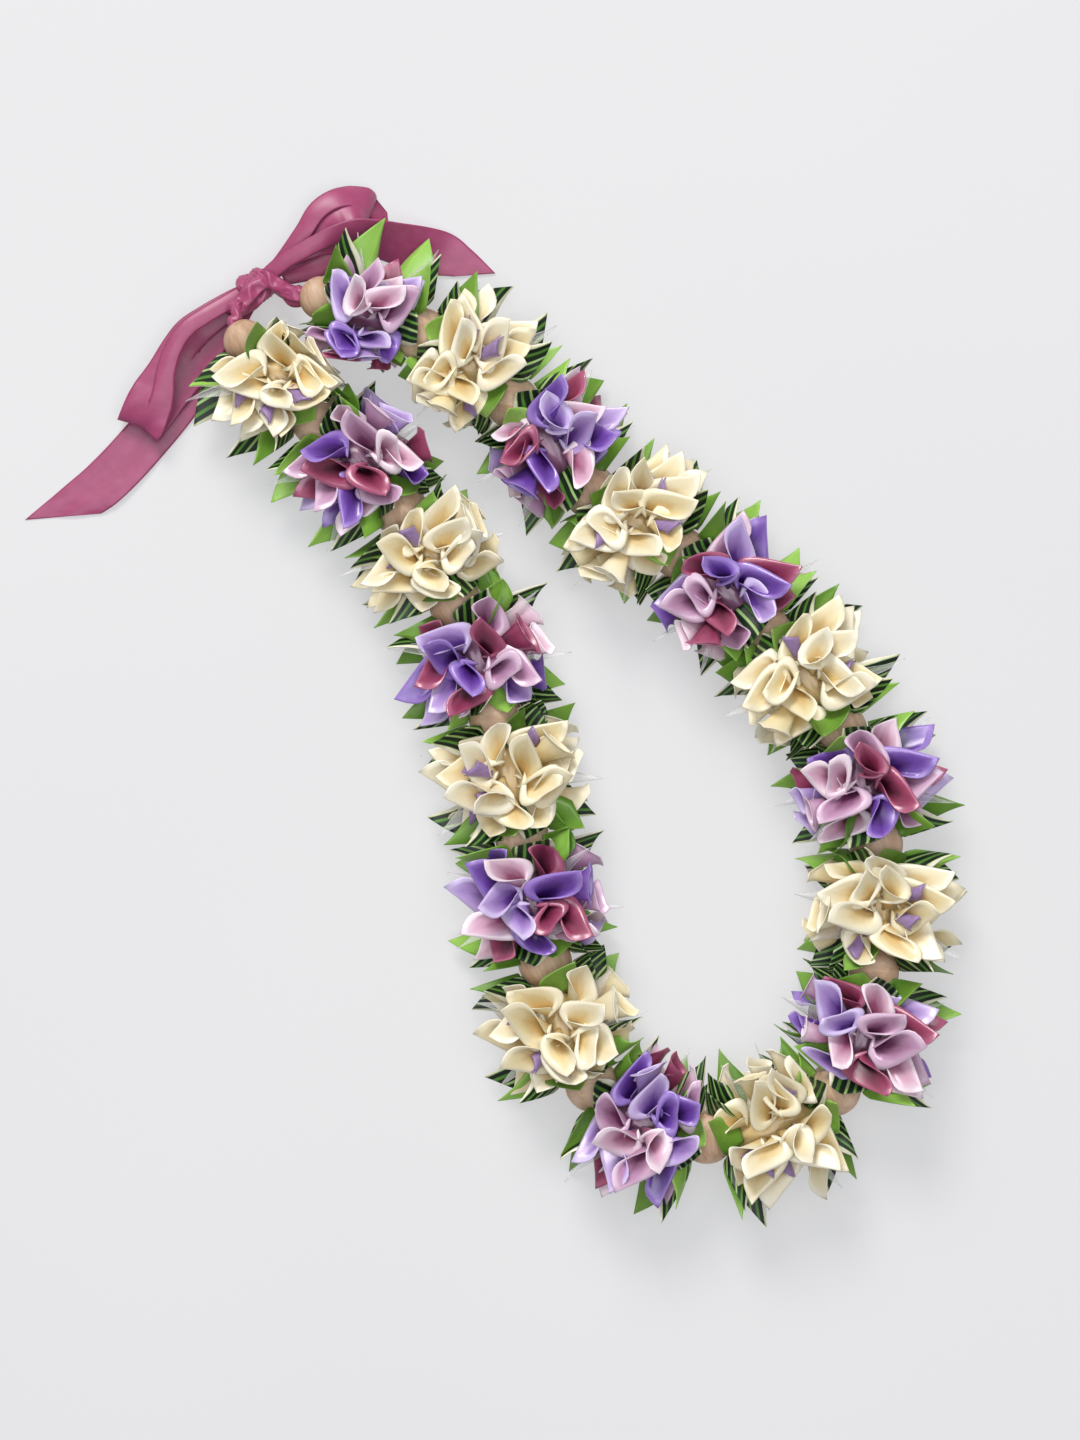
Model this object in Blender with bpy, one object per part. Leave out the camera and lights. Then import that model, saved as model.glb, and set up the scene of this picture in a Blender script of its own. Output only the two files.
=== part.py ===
"""A ribbon lei lying on a table: flower clusters folded from satin ribbon and wooden beads on one
gathered ribbon cord, ribbon leaves at both ends of every cluster, and a bow that ties the ends.

Millimetres are turned into metres by MM. The strand lies level, with its axis at AXIS_HEIGHT.
"""

import math
import random
from collections import namedtuple

import bmesh
import bpy
from mathutils import Matrix, Vector

MM = 0.001
GAP = 0.35 * MM

# The strand: the places of the 19 beads in plan, in millimetres, from the left end round to the right.
BEAD_PLACES = (
    (-114.5, 166.5), (-81.0, 130.2), (-42.3, 87.9), (-17.5, 45.5), (0.5, -6.0), (12.9, -61.6),
    (23.5, -119.1), (45.1, -175.7), (98.0, -199.6), (156.4, -177.6), (173.9, -123.7),
    (175.7, -64.9), (159.2, -12.4), (125.1, 32.7), (86.0, 68.5), (44.2, 97.5), (8.3, 138.5),
    (-33.1, 169.3), (-79.6, 186.3),
)
LEFT_LEAD = (-117.4, 181.0)
RIGHT_LEAD = (-96.1, 191.4)
PLAN_SHIFT = (-0.67, -0.47)
AXIS_HEIGHT = 24 * MM
BEAD_RADIUS = 12.5 * MM
END_BEAD_RADIUS = 10 * MM
BEAD_BORE = 2.7 * MM
BEAD_RIM = 0.6 * MM
BEAD_SIDES = 8
BEAD_STEPS = 4
CORD_RADIUS = 2.0 * MM
JOINT_SPACE = 0.8 * MM

# One cluster, for a sleeve of SLEEVE_HALF, stretched or shortened to the space between its beads.
SLEEVE_HALF = 14.3 * MM
SLEEVE_RADIUS = 4.9 * MM
SLEEVE_BORE = CORD_RADIUS + 2.0 * GAP
BEND_INSET = 2.2 * MM
CORE_RADIUS = 10.5 * MM
CORE_END_RADIUS = 8.5 * MM
CORE_BORE = SLEEVE_RADIUS + 1.2 * GAP
SIX_SIDES = 6
CORE_INSET = 5.6 * MM
HALF_SPACE = 27.0 * MM
# Towards the far side of the loop, what lies past the knee is drawn in where the strands run close.
KNEE = 12 * MM
FULL_REACH = 42 * MM
NEIGHBOURS = 3

PETAL_LENGTH = 29 * MM
PETAL_HALF_WIDTH = 9.2 * MM
PETAL_WALL = 1.1 * MM
PETAL_ROOT_DEPTH = 5.8 * MM
# Row place along the strand, row lean, and the turns of its petals from upright towards the outside.
OPEN_ROWS = (
    (-7.0, -24, (94, 46, 2, -46)),
    (0.0, 0, (70, 22, -20, -68)),
    (7.0, 24, (93, 42, -4, -52)),
)
BUD_TURN = 30
BUD_LEAN = 0.55
PRESSED_TURNS = (140, -140)
ANGLE_PLAY = 3.0
LENGTH_PLAY = 0.05

LEAF_LENGTH = 41 * MM
LEAF_HALF_WIDTH = 6.0 * MM
LEAF_THICK = 0.9 * MM
LEAF_ROOT_DEPTH = 3.6 * MM
LEAF_INSET = 1.1 * MM
# End of the sleeve, turn, lean away from square, roll, share of the full length.
LEAVES = (
    (1, 111, 12, 0, 1.0), (1, 126, 18, 0, 0.82), (1, -114, 10, 0, 0.92), (1, 22, 42, 90, 0.56),
    (-1, 112, 12, 0, 0.95), (-1, -112, 10, 0, 1.0),
)
# By cluster number: how far its low outer petals and leaves are lifted over the bow, in degrees.
LIFT = {1: 14, 2: 4, 17: 6, 18: 16}

# The bow, in millimetres.
RIBBON_THICK = 1.2
STEEP = 0.7
KNOT_PLACE = (-108.6, 190.9, 8.6)
KNOT_RADII = (10.0, 8.5, 9.0)

SEED = 7

Cluster = namedtuple("Cluster", "frame half end turns reach lift")


def shifted(x, y, z=0.0):
    """A place in metres from millimetres in plan and in height."""
    return Vector((x + PLAN_SHIFT[0], y + PLAN_SHIFT[1], z)) * MM


def material(name, colour, roughness):
    made = bpy.data.materials.new(name)
    made.use_nodes = True
    shader = made.node_tree.nodes["Principled BSDF"]
    shader.inputs["Base Color"].default_value = (*colour, 1.0)
    shader.inputs["Roughness"].default_value = roughness
    made.diffuse_color = (*colour, 1.0)
    return made


def mesh_object(name, points, faces, finish):
    """An object of these points and faces, with every face pointing out."""
    mesh = bpy.data.meshes.new(name)
    mesh.from_pydata([tuple(p) for p in points], [], faces)
    shape = bmesh.new()
    shape.from_mesh(mesh)
    bmesh.ops.recalc_face_normals(shape, faces=shape.faces)
    shape.to_mesh(mesh)
    shape.free()
    mesh.materials.append(finish)
    made = bpy.data.objects.new(name, mesh)
    bpy.context.scene.collection.objects.link(made)
    return made


def fused(name, body, pieces, floor=None):
    """The body joined with the pieces by one union, and cut level at the floor."""
    group = bpy.data.collections.new(name + "_pieces")
    for piece in pieces:
        bpy.context.scene.collection.objects.unlink(piece)
        group.objects.link(piece)
    join = body.modifiers.new("join", "BOOLEAN")
    join.operation = "UNION"
    join.operand_type = "COLLECTION"
    join.collection = group
    join.solver = "MANIFOLD"
    if floor:
        trim = body.modifiers.new("trim", "BOOLEAN")
        trim.operation = "DIFFERENCE"
        trim.object = floor
        trim.solver = "MANIFOLD"
    joined = body.evaluated_get(bpy.context.evaluated_depsgraph_get())
    mesh = bpy.data.meshes.new_from_object(joined)
    body.modifiers.clear()
    body.data = mesh
    body.name = name
    for piece in pieces:
        bpy.data.objects.remove(piece)
    bpy.data.collections.remove(group)
    return body


def turned_profile(profile, sides, frame):
    """Points and faces of a closed (along, radius) profile turned round the frame's first axis."""
    points = []
    for along, radius in profile:
        for k in range(sides):
            angle = 2 * math.pi * k / sides
            local = Vector((along, radius * math.cos(angle), radius * math.sin(angle)))
            points.append(frame @ local)
    faces = []
    rings = len(profile)
    for i in range(rings):
        j = (i + 1) % rings
        for k in range(sides):
            n = (k + 1) % sides
            faces.append((i * sides + k, i * sides + n, j * sides + n, j * sides + k))
    return points, faces


def strand_frames():
    """Bead places with their directions, and the frame and half length of each sleeve between."""
    route = [shifted(*LEFT_LEAD), *(shifted(*p) for p in BEAD_PLACES), shifted(*RIGHT_LEAD)]
    beads = []
    for i, place in enumerate(route[1:-1], start=1):
        along = (route[i + 1] - route[i - 1]).normalized()
        at_end = i in (1, len(route) - 2)
        radius = END_BEAD_RADIUS if at_end else BEAD_RADIUS
        beads.append((place + Vector((0, 0, AXIS_HEIGHT)), along, radius))
    joints = []
    for place, along, radius in beads:
        reach = along * (radius + JOINT_SPACE)
        joints.append((place - reach, place + reach))
    middles = [(joints[i][1] + joints[i + 1][0]) / 2 for i in range(len(beads) - 1)]
    clusters = []
    for i, middle in enumerate(middles):
        start = joints[i][1]
        end = joints[i + 1][0]
        along = (end - start).normalized()
        turns = [math.asin(along.cross(beads[j][1]).z) for j in (i, i + 1)]
        far = [(m - middle).length for j, m in enumerate(middles) if abs(j - i) > NEIGHBOURS]
        reach = min(FULL_REACH, min(far) / 2 - 2 * GAP)
        half = (end - start).length / 2
        inset = BEND_INSET * max(abs(math.sin(t)) for t in turns)
        sleeve_end = half - JOINT_SPACE / 2 - inset
        lift = LIFT.get(i + 1, 0)
        frame = level_frame(middle, along)
        clusters.append(Cluster(frame, half, sleeve_end, turns, reach, lift))
    return beads, joints, clusters


def level_frame(place, along):
    """Axes along the strand, out of the loop and up."""
    frame = Matrix.Identity(4)
    frame.col[0][:3] = along
    frame.col[1][:3] = (along.y, -along.x, 0.0)
    frame.col[2][:3] = (0.0, 0.0, 1.0)
    frame.col[3][:3] = place
    return frame


def squeezed(local, cluster):
    """A cluster point drawn in so that it stays on its own side of the next bead and strand."""
    turn = cluster.turns[1] if local.x > 0 else -cluster.turns[0]
    limit = cluster.half + BEAD_RADIUS * math.cos(turn)
    limit -= (-local.y - BEAD_RADIUS * math.sin(turn)) * math.tan(turn)
    share = min(1.0, (limit - GAP) / HALF_SPACE)
    across = local.y
    if across < -KNEE:
        across = -KNEE + (across + KNEE) * (cluster.reach - KNEE) / (FULL_REACH - KNEE)
    return Vector((local.x * share, across, local.z))


def direction(turn, lean):
    """Unit vectors in the cluster's frame: along the petal, across it, and out of its face."""
    turn = math.radians(turn)
    lean = math.radians(lean)
    radial = Vector((0.0, math.sin(turn), math.cos(turn)))
    face = Vector((0.0, -math.cos(turn), math.sin(turn)))
    along = radial * math.cos(lean) + Vector((math.sin(lean), 0.0, 0.0))
    return along, face.cross(along), face


# Per rim point, from the tip round: share of the length, of the half width across, and of it outward.
OPEN_RIM = ((1.0, 0.0, -0.30), (0.80, 0.94, -0.06), (0.48, 0.62, 0.54),
            (0.48, -0.62, 0.54), (0.80, -0.94, -0.06))
BUD_RIM = ((1.0, 0.0, -0.55), (0.95, 0.72, -0.12), (0.82, 0.46, 0.58),
           (0.82, -0.46, 0.58), (0.95, -0.72, -0.12))
PRESSED_RIM = ((1.0, 0.0, -0.30), (0.93, 0.80, -0.10), (0.76, 0.56, 0.34),
               (0.76, -0.56, 0.34), (0.93, -0.80, -0.10))
THROAT = (0.38, 0.0, 0.04)


def petal_points(length, half_width, rim, hollow):
    """One folded petal, in (along, across, outward), from its gathered root to its rolled rim."""
    outer = [Vector((a * length, b * half_width, c * half_width)) for a, b, c in rim]
    sides = len(outer)
    root = 2 * sides
    middle = sum(outer, Vector()) / sides
    inner = [p + (middle - p).normalized() * PETAL_WALL for p in outer]
    if not hollow:
        inner = [middle] * sides
    throat = Vector((THROAT[0] * length, THROAT[1] * half_width, THROAT[2] * half_width))
    points = [*outer, *inner, Vector((0, 0, 0)), throat if hollow else middle]
    faces = []
    for k in range(sides):
        n = (k + 1) % sides
        faces.append((k, n, root))
        if hollow:
            faces.append((k, n, sides + n))
            faces.append((k, sides + n, sides + k))
            faces.append((sides + k, sides + n, root + 1))
    if not hollow:
        faces.append(tuple(range(sides)))
        points = points[:sides] + [points[root]]
        faces = [tuple(sides if v == root else v for v in face) for face in faces]
    return points, faces


def petal(cluster, place, turn, lean, length, rim, hollow, finish):
    along, across, face = direction(turn, lean)
    root = Vector((0.0, along.y, along.z)).normalized() * PETAL_ROOT_DEPTH
    root.x = place
    points, faces = petal_points(length, PETAL_HALF_WIDTH, rim, hollow)
    placed = []
    for a, b, c in points:
        local = root + along * a + across * b + face * c
        placed.append(cluster.frame @ squeezed(local, cluster))
    return mesh_object("petal", placed, faces, finish)


def bloom(name, cluster, draw, finish, floor):
    """A cluster: a turned core with a bore, and rows of folded petals fused to it."""
    stretch = cluster.half / SLEEVE_HALF
    reach = cluster.end - CORE_INSET
    profile = ((-reach, CORE_BORE), (-reach, CORE_END_RADIUS), (0.0, CORE_RADIUS),
               (reach, CORE_END_RADIUS), (reach, CORE_BORE))
    core = mesh_object(name, *turned_profile(profile, SIX_SIDES, cluster.frame), finish)
    petals = []
    for place, lean, turns in OPEN_ROWS:
        for turn in turns:
            turn += draw.uniform(-ANGLE_PLAY, ANGLE_PLAY)
            length = PETAL_LENGTH * (1 + draw.uniform(-LENGTH_PLAY, LENGTH_PLAY))
            spot = place * MM * stretch
            if turn > 90:
                turn -= cluster.lift
            bud = abs(turn) < BUD_TURN
            rim = BUD_RIM if bud else OPEN_RIM
            tilt = lean * BUD_LEAN if bud else lean
            petals.append(petal(cluster, spot, turn, tilt, length, rim, True, finish))
    for turn in PRESSED_TURNS:
        petals.append(petal(cluster, 0.0, turn, 0, PETAL_LENGTH, PRESSED_RIM, False, finish))
    return fused(name, core, petals, floor)


def leaf(cluster, end, turn, lean, roll, share, finish):
    """One ribbon leaf: narrow at its root, straight sides, cut slanting to a point."""
    if turn > 90:
        turn -= cluster.lift
    bend = cluster.turns[1] if end > 0 else -cluster.turns[0]
    lean += min(0.0, math.degrees(bend) * math.sin(math.radians(turn)))
    along, across, face = direction(turn, lean * end)
    swing = Matrix.Rotation(math.radians(roll), 3, along)
    across = swing @ across
    face = swing @ face
    length = LEAF_LENGTH * share
    side = 1.0 if turn * end > 0 else -1.0
    outline = ((0.0, -0.2), (0.55, -1.0), (1.0, 0.75), (0.42, 1.0), (0.0, 0.2))
    root = Vector((0.0, along.y, along.z)).normalized() * LEAF_ROOT_DEPTH
    root.x = end * (cluster.end - LEAF_INSET)
    points = []
    for level in (-0.5, 0.5):
        for a, b in outline:
            local = root + along * (a * length) + across * (b * side * LEAF_HALF_WIDTH)
            local += face * (level * LEAF_THICK)
            points.append(cluster.frame @ squeezed(local, cluster))
    n = len(outline)
    faces = [tuple(range(n)), tuple(range(n, 2 * n))]
    for k in range(n):
        m = (k + 1) % n
        faces.append((k, m, n + m, n + k))
    return mesh_object("leaf", points, faces, finish)


def leaf_collar(name, cluster, finish):
    """The leaves at both ends of a cluster, gathered on one sleeve that runs through it."""
    end = cluster.end
    profile = ((-end, SLEEVE_BORE), (-end, SLEEVE_RADIUS), (end, SLEEVE_RADIUS), (end, SLEEVE_BORE))
    sleeve = mesh_object(name, *turned_profile(profile, SIX_SIDES, cluster.frame), finish)
    leaves = [leaf(cluster, *row, finish) for row in LEAVES]
    return fused(name, sleeve, leaves)


def bead(name, place, along, radius, finish):
    """A turned bead with a bore, its ends flat round the hole."""
    frame = level_frame(place, along)
    edge = math.asin((BEAD_BORE + BEAD_RIM) / radius)
    profile = [(-radius * math.cos(edge), BEAD_BORE)]
    for k in range(BEAD_STEPS + 1):
        angle = edge + (math.pi - 2 * edge) * k / BEAD_STEPS
        profile.append((-radius * math.cos(angle), radius * math.sin(angle)))
    profile.append((radius * math.cos(edge), BEAD_BORE))
    return mesh_object(name, *turned_profile(profile, BEAD_SIDES, frame), finish)


def tube(name, stations, sides, finish):
    """A closed tube through (place, radius) stations, its rings upright."""
    points = []
    last = len(stations) - 1
    for i, (place, radius) in enumerate(stations):
        before = stations[max(i - 1, 0)][0]
        after = stations[min(i + 1, last)][0]
        along = (after - before).normalized()
        out = Vector((along.y, -along.x, 0.0)).normalized()
        up = out.cross(along)
        for k in range(sides):
            angle = 2 * math.pi * k / sides
            points.append(place + out * radius * math.cos(angle) - up * radius * math.sin(angle))
    faces = [tuple(range(sides)), tuple(range(last * sides, (last + 1) * sides))]
    for i in range(last):
        for k in range(sides):
            n = (k + 1) % sides
            row = i * sides
            faces.append((row + k, row + n, row + sides + n, row + sides + k))
    return mesh_object(name, points, faces, finish)


def cord(joints, finish):
    """The gathered ribbon that everything is strung on, from one side of the knot to the other."""
    left = [(shifted(-114.9, 184.2, 12.6), 2.0), (shifted(-116.6, 183.6, 15.4), 2.0),
            (shifted(-118.0, 182.9, 18.0), 2.0), (shifted(-118.4, 182.7, 18.7), 4.4),
            (shifted(-119.8, 181.4, 22.4), 4.4), (shifted(-120.0, 181.0, 23.1), 2.0)]
    right = [(shifted(-92.6, 190.9, 23.0), 2.0), (shifted(-96.4, 191.6, 18.6), 2.0),
             (shifted(-99.8, 191.9, 13.9), 2.0)]
    stations = [(place, radius * MM) for place, radius in left]
    for start, end in joints:
        stations += [(start, CORD_RADIUS), (end, CORD_RADIUS)]
    stations += [(place, radius * MM) for place, radius in right]
    return tube("stringing_ribbon", stations, SIX_SIDES, finish)


def strip(name, stations, finish):
    """A flat ribbon through (x, y, z, width, skew) stations; the skew slants a cut end."""
    places = [shifted(*s[:3]) for s in stations]
    last = len(stations) - 1
    points = []
    for i, (*_, width, skew) in enumerate(stations):
        along = (places[min(i + 1, last)] - places[max(i - 1, 0)]).normalized()
        level = Vector((along.y, -along.x, 0.0))
        if i and level.length < STEEP:
            level = before
        level.normalize()
        if i and level.dot(before) < 0:
            level = -level
        before = level
        face = along.cross(level).normalized() * RIBBON_THICK * MM / 2
        across = (level * width + along * skew) * MM / 2
        points += [places[i] - across - face, places[i] + across - face,
                   places[i] + across + face, places[i] - across + face]
    faces = [(0, 1, 2, 3), tuple(4 * last + k for k in range(4))]
    for i in range(last):
        for k in range(4):
            n = (k + 1) % 4
            faces.append((4 * i + k, 4 * i + n, 4 * i + 4 + n, 4 * i + 4 + k))
    return mesh_object(name, points, faces, finish)


def knot_and_tails(finish, floor):
    """The knot, resting on its flattened underside, with the two slant-cut tails of the ribbon."""
    bpy.ops.mesh.primitive_ico_sphere_add(subdivisions=1, radius=1.0, location=(0, 0, 0))
    knot = bpy.context.object
    for vertex in knot.data.vertices:
        vertex.co = Vector([c * r for c, r in zip(vertex.co, KNOT_RADII)]) * MM
        vertex.co += shifted(*KNOT_PLACE)
    knot.data.materials.append(finish)
    right = strip("tail", (
        (-104.0, 194.5, 7.5, 8, 0), (-96.5, 200.5, 8.0, 13, 0), (-80.0, 209.3, 8.6, 21, 0),
        (-61.6, 212.9, 6.4, 20, 0), (-43.2, 213.9, 2.6, 22, 0), (-27.0, 209.5, 1.2, 22, 0),
        (-9.2, 198.7, 0.9, 11.5, -15.7)), finish)
    left = strip("tail", (
        (-113.0, 187.0, 6.0, 8, 0), (-119.5, 180.0, 3.6, 13, 0), (-130.0, 165.0, 1.3, 21, 0),
        (-149.0, 138.0, 0.9, 22, 0), (-167.0, 116.4, 0.9, 22, 0), (-186.0, 97.5, 0.9, 22, 0),
        (-200.3, 86.5, 0.9, 19.4, 29.7)), finish)
    return fused("bow_knot_and_tails", knot, [right, left], floor)


def build():
    for old in list(bpy.data.objects):
        bpy.data.objects.remove(old)
    cream = material("cream_satin", (0.86, 0.77, 0.55), 0.42)
    violet = material("violet_satin", (0.22, 0.10, 0.42), 0.42)
    green = material("leaf_satin", (0.12, 0.33, 0.07), 0.45)
    wood = material("bead_wood", (0.62, 0.42, 0.27), 0.6)
    rose = material("rose_satin", (0.40, 0.09, 0.20), 0.4)
    bpy.ops.mesh.primitive_cube_add(size=1.0, location=(0, 0, -0.05), scale=(0.8, 0.8, 0.1))
    floor = bpy.context.object
    bpy.ops.object.transform_apply(location=True, rotation=False, scale=True)

    draw = random.Random(SEED)
    beads, joints, clusters = strand_frames()
    for i, (place, along, radius) in enumerate(beads, start=1):
        bead(f"bead_{i:02d}", place, along, radius, wood)
    for i, cluster in enumerate(clusters, start=1):
        finish = cream if i % 2 else violet
        bloom(f"bloom_{i:02d}", cluster, draw, finish, floor)
        leaf_collar(f"leaves_{i:02d}", cluster, green)
    cord(joints, rose)
    knot_and_tails(rose, floor)
    strip("bow_loop_right", (
        (-104.0, 197.0, 12.9, 8, 0), (-91.0, 209.0, 16.5, 17, 0), (-77.0, 224.0, 17.0, 22, 0),
        (-65.0, 229.5, 14.0, 19, 0), (-58.5, 232.0, 8.0, 15, 0), (-63.0, 230.5, 2.4, 15, 0),
        (-76.0, 222.0, 1.0, 17, 0), (-94.0, 206.0, 1.4, 10, 0)), rose)
    strip("bow_loop_left", (
        (-119.8, 191.9, 12.8, 8, 0), (-128.0, 182.0, 15.5, 17, 0), (-142.0, 167.0, 16.0, 22, 0),
        (-154.0, 149.0, 14.5, 22, 0), (-160.5, 134.0, 12.0, 22, 0), (-161.5, 130.0, 8.0, 22, 0),
        (-156.0, 138.0, 4.6, 22, 0), (-144.0, 154.0, 4.2, 18, 0), (-130.0, 171.0, 6.0, 9, 0)), rose)
    bpy.data.objects.remove(floor)


build()
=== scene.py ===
# %% [markdown]
# # A lei of satin ribbon flowers and wooden beads
# The lei lies on a pale table and is seen from straight above. Flower clusters folded from satin
# ribbon and turned beads follow each other on one gathered ribbon, and a bow ties the two ends.
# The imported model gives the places. Every piece made here stands for one of its nodes, at that place.

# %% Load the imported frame
import random
from collections import namedtuple
from math import asin, copysign, cos, degrees, exp, pi, radians, sin, sqrt, tan

import bpy
from mathutils import Matrix, Vector, noise


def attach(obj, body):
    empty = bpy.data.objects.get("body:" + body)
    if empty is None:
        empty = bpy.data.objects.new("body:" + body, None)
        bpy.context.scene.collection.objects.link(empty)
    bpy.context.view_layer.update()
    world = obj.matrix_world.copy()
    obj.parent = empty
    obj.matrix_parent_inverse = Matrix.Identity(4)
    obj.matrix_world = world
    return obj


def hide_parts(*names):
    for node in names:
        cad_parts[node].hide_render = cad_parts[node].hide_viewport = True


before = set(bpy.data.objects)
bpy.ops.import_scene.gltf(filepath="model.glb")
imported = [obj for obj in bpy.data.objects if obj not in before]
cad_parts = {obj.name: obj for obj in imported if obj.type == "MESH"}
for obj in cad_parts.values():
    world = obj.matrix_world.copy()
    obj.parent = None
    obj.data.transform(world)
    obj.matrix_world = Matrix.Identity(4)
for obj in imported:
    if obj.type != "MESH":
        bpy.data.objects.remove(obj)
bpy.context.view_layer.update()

# %% [markdown]
# ## The strand
# All flowers, leaves and beads are placed from the strand: the line of bead centres. It could be read
# off each node's box, but the source's own points are exact, so they are repeated here. Each cluster
# gets its own axes: along the strand, out of the loop, and up.

# %% The line of the beads
MM = 0.001
PLAN_SHIFT = (-0.67, -0.47)
AXIS_HEIGHT = 24 * MM
BEAD_RADIUS = 12.5 * MM
END_BEAD_RADIUS = 10 * MM
JOINT_SPACE = 0.8 * MM
BEAD_PLACES = (
    (-114.5, 166.5), (-81, 130.2), (-42.3, 87.9), (-17.5, 45.5), (0.5, -6), (12.9, -61.6),
    (23.5, -119.1), (45.1, -175.7), (98, -199.6), (156.4, -177.6), (173.9, -123.7),
    (175.7, -64.9), (159.2, -12.4), (125.1, 32.7), (86, 68.5), (44.2, 97.5), (8.3, 138.5),
    (-33.1, 169.3), (-79.6, 186.3),
)
LEADS = ((-117.4, 181), (-96.1, 191.4))

Bead = namedtuple("Bead", "place along radius")


def placed(x, y, z=0):
    """A place in metres from millimetres in plan and in height."""
    return Vector((x + PLAN_SHIFT[0], y + PLAN_SHIFT[1], z)) * MM


route = [placed(*spot) for spot in (LEADS[0], *BEAD_PLACES, LEADS[1])]
beads = []
for number in range(1, len(route) - 1):
    heading = (route[number + 1] - route[number - 1]).normalized()
    at_end = number in (1, len(route) - 2)
    beads.append(Bead(route[number] + Vector((0, 0, AXIS_HEIGHT)), heading,
                      END_BEAD_RADIUS if at_end else BEAD_RADIUS))
print("beads:", len(beads))

# %% The spaces of the clusters between the beads
GAP = 0.35 * MM
SLEEVE_HALF = 14.3 * MM
HALF_SPACE = 27 * MM
KNEE = 12 * MM
FULL_REACH = 42 * MM
NEIGHBOURS = 3
# How far the outer low petals of a crowded cluster are raised (degrees), by its number.
LIFT = {1: 14, 2: 4, 17: 6, 18: 16}

Cluster = namedtuple("Cluster", "frame half turns reach lift ends")
joints = []
for bead in beads:
    half_bead = bead.along * (bead.radius + JOINT_SPACE)
    joints.append((bead.place - half_bead, bead.place + half_bead))
middles = [(joints[i][1] + joints[i + 1][0]) / 2 for i in range(len(beads) - 1)]
clusters = []
for i, middle in enumerate(middles):
    start, end = joints[i][1], joints[i + 1][0]
    heading = (end - start).normalized()
    turns = [asin(heading.cross(beads[j].along).z) for j in (i, i + 1)]
    far = [(other - middle).length for j, other in enumerate(middles) if abs(j - i) > NEIGHBOURS]
    reach = min(FULL_REACH, min(far) / 2 - 2 * GAP)
    axes = Matrix((heading, (heading.y, -heading.x, 0), (0, 0, 1))).transposed().to_4x4()
    axes.translation = middle
    clusters.append(Cluster(axes, (end - start).length / 2, turns, reach, LIFT.get(i + 1, 0),
                            (beads[i], beads[i + 1])))
print("clusters:", len(clusters), "shortest reach (mm):", round(min(c.reach for c in clusters) / MM, 1))

# %% [markdown]
# ## Room for the cloth
# Ribbon gives way: a petal that meets a bead, the next strand or the table is pushed aside by it. Cloth
# simulation of more than 400 petals would take too long, so two small functions move each point of a
# petal out of the things that it would touch.

# %% Points that give way
TABLE_GAP = 0.4 * MM
BEAD_GAP = 0.7 * MM
BEND_START = 18 * MM
LEAF_ROOM = 1.3


def squeezed(local, cluster, room):
    """A cluster point drawn in, so that it stays on its own side of the next bead and strand."""
    turn = cluster.turns[1] if local.x > 0 else -cluster.turns[0]
    limit = cluster.half + BEAD_RADIUS * cos(turn)
    limit -= (-local.y - BEAD_RADIUS * sin(turn)) * tan(turn)
    share = min(1, (limit - GAP) / HALF_SPACE)
    across = local.y
    if across < -KNEE:
        across = -KNEE + (across + KNEE) * (cluster.reach - KNEE) / (FULL_REACH - KNEE)
    along = local.x
    if abs(along) > BEND_START:
        spare = HALF_SPACE * room - BEND_START
        along = copysign(BEND_START + spare * (1 - exp((BEND_START - abs(along)) / spare)), along)
    return Vector((along * share, across, local.z))


def settled(local, cluster, room=1):
    """The same point in the lei's frame, outside the two beads and above the table."""
    place = cluster.frame @ squeezed(local, cluster, room)
    for bead in cluster.ends:
        away = place - bead.place
        clear = bead.radius + BEAD_GAP
        if away.length < clear:
            place = bead.place + away.normalized() * clear
    if place.z < 3 * TABLE_GAP:
        place.z = TABLE_GAP + 2 * TABLE_GAP * exp((place.z - 3 * TABLE_GAP) / (6 * TABLE_GAP))
    return place

# %% [markdown]
# ## Making a sheet of ribbon
# Every petal, leaf and bow end is a grid of points, because a folded ribbon is a bent rectangle: rows
# run along the ribbon and columns across it. One helper turns a list of grids into an object with a UV
# map that says where each point lies on its ribbon, a Solidify modifier gives the cloth its thickness,
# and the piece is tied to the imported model.

# %% Grids to objects
CLOTH = 0.35 * MM


def new_object(name, data):
    """A new object in the scene."""
    made = bpy.data.objects.new(name, data)
    bpy.context.collection.objects.link(made)
    return made


def part_of_lei(piece, slot, *nodes):
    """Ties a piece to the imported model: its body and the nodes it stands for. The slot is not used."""
    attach(piece, "root")
    if nodes:
        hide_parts(*nodes)


def grid_rows(steps, columns, spot):
    """Rows of what spot gives for each share of the way along a ribbon and across it."""
    return [[spot(i / steps, j / columns) for j in range(columns + 1)] for i in range(steps + 1)]


def between(share, start, stop):
    """The value at a share of the way from start to stop."""
    return start + (stop - start) * share


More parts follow.
